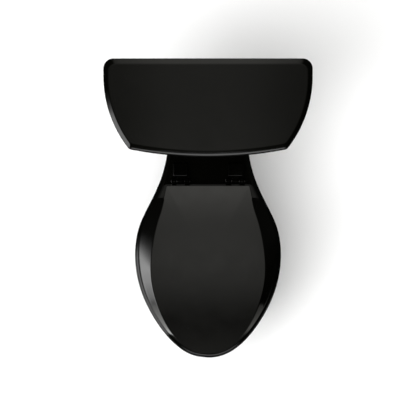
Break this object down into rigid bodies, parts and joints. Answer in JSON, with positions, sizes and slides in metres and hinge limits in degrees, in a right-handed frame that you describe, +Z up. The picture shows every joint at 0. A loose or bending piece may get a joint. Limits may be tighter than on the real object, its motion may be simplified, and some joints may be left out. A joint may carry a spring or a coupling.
{
  "type": "close coupled toilet",
  "caption": "Floor-standing close coupled toilet: elongated bowl with trapway, bow-fronted cistern with lift-off lid, hinged seat and cover, side trip lever.",
  "frame": {"origin": "on the floor, under the centre of the object's box", "axes": "+Z up; the nose of the bowl points to -Y and the cistern stands towards +Y; X runs across, the trip lever on the -X side"},
  "size_m": [0.498, 0.7341, 0.78],
  "materials": {
    "black_china": "gloss",
    "seat_plastic": "gloss",
    "bumper_rubber": "matt",
    "hinge_plastic": "gloss",
    "pin_steel": "satin",
    "bolt_nylon": "satin",
    "sponge_rubber": "matt",
    "bolt_brass": "satin",
    "washer_steel": "satin",
    "washer_rubber": "matt",
    "valve_plastic": "satin",
    "nut_plastic": "satin",
    "flapper_rubber": "matt",
    "chain_steel": "satin",
    "lever_chrome": "polished",
    "arm_brass": "satin",
    "fill_plastic": "satin",
    "float_plastic": "satin",
    "tube_vinyl": "satin",
    "cap_plastic": "gloss"
  },
  "bodies": {
    "bowl_and_tank": {"bowl_rim": "black_china", "bowl_pan": "black_china", "bowl_waist": "black_china", "bowl_foot": "black_china", "tank": "black_china", "tank_gasket": "sponge_rubber", "tank_bolts": "bolt_brass", "tank_bolt_rubber_washers": "washer_rubber", "tank_bolt_washers": "washer_steel", "tank_bolt_nuts": "bolt_brass", "flush_valve_body": "valve_plastic", "flush_valve_washer": "washer_rubber", "flush_valve_locknut": "nut_plastic", "trip_lever_bushing": "lever_chrome", "trip_lever_nut": "nut_plastic", "fill_valve_body": "fill_plastic", "fill_valve_washer": "washer_rubber", "fill_valve_nut": "nut_plastic", "fill_valve_head": "fill_plastic", "refill_tube": "tube_vinyl", "refill_clip": "nut_plastic", "hinge_post_left": "hinge_plastic", "hinge_post_right": "hinge_plastic", "hinge_cap_left": "hinge_plastic", "hinge_cap_right": "hinge_plastic", "hinge_pins": "pin_steel", "seat_bolts": "bolt_nylon", "seat_bolt_washers": "bolt_nylon", "seat_bolt_nuts": "bolt_nylon", "bolt_cap_bases": "nut_plastic", "bolt_caps": "cap_plastic"},
    "ring": {"seat_ring": "seat_plastic", "seat_ring_bumpers": "bumper_rubber"},
    "cover": {"seat_cover": "seat_plastic", "cover_bumpers": "bumper_rubber"},
    "lid": {"tank_lid": "black_china"},
    "trip_lever": {"trip_lever_handle": "lever_chrome", "trip_lever_arm": "arm_brass"},
    "chain": {"lift_chain": "chain_steel", "chain_clip": "chain_steel"},
    "flapper_flap": {"flapper": "flapper_rubber"},
    "float": {"float_cup": "float_plastic", "float_rod": "washer_steel"},
    "valve_rocker": {"fill_valve_lever": "fill_plastic"}
  },
  "joints": [
    {"name": "seat_hinge", "type": "hinge", "parent": "bowl_and_tank", "child": "ring", "pos_m": [0, 0.079, 0.43], "axis": [-1, 0, 0], "range_deg": [0, 93]},
    {"name": "cover_hinge", "type": "hinge", "parent": "ring", "child": "cover", "pos_m": [0, 0.079, 0.43], "axis": [1, 0, 0], "range_deg": [-93, 0]},
    {"name": "tank_lid_lift", "type": "slide", "parent": "bowl_and_tank", "child": "lid", "axis": [0, 0, 1], "range_m": [0, 0.12]},
    {"name": "trip_lever_turn", "type": "hinge", "parent": "bowl_and_tank", "child": "trip_lever", "pos_m": [-0.105, 0.17, 0.705], "axis": [0, -1, 0], "range_deg": [0, 20]},
    {"name": "chain_swing", "type": "hinge", "parent": "trip_lever", "child": "chain", "pos_m": [0.024, 0.245, 0.685], "axis": [0, -1, 0], "range_deg": [-24.1, 0]},
    {"name": "flapper_hinge", "type": "hinge", "parent": "bowl_and_tank", "child": "flapper_flap", "pos_m": [-0.056, 0.245, 0.474], "axis": [0, -1, 0], "range_deg": [0, 35.1]},
    {"name": "float_slide", "type": "slide", "parent": "bowl_and_tank", "child": "float", "axis": [0, 0, 1], "range_m": [0, 0.022]},
    {"name": "valve_rocker_turn", "type": "hinge", "parent": "bowl_and_tank", "child": "valve_rocker", "pos_m": [-0.138, 0.262, 0.703], "axis": [0, 1, 0], "range_deg": [0, 26.6]}
  ],
  "couplings": [
    {"joint": "chain_swing", "follows": "trip_lever_turn", "ratio": -1.202},
    {"joint": "flapper_hinge", "follows": "trip_lever_turn", "ratio": 1.75},
    {"joint": "valve_rocker_turn", "follows": "float_slide", "rad_per_m": 21}
  ]
}
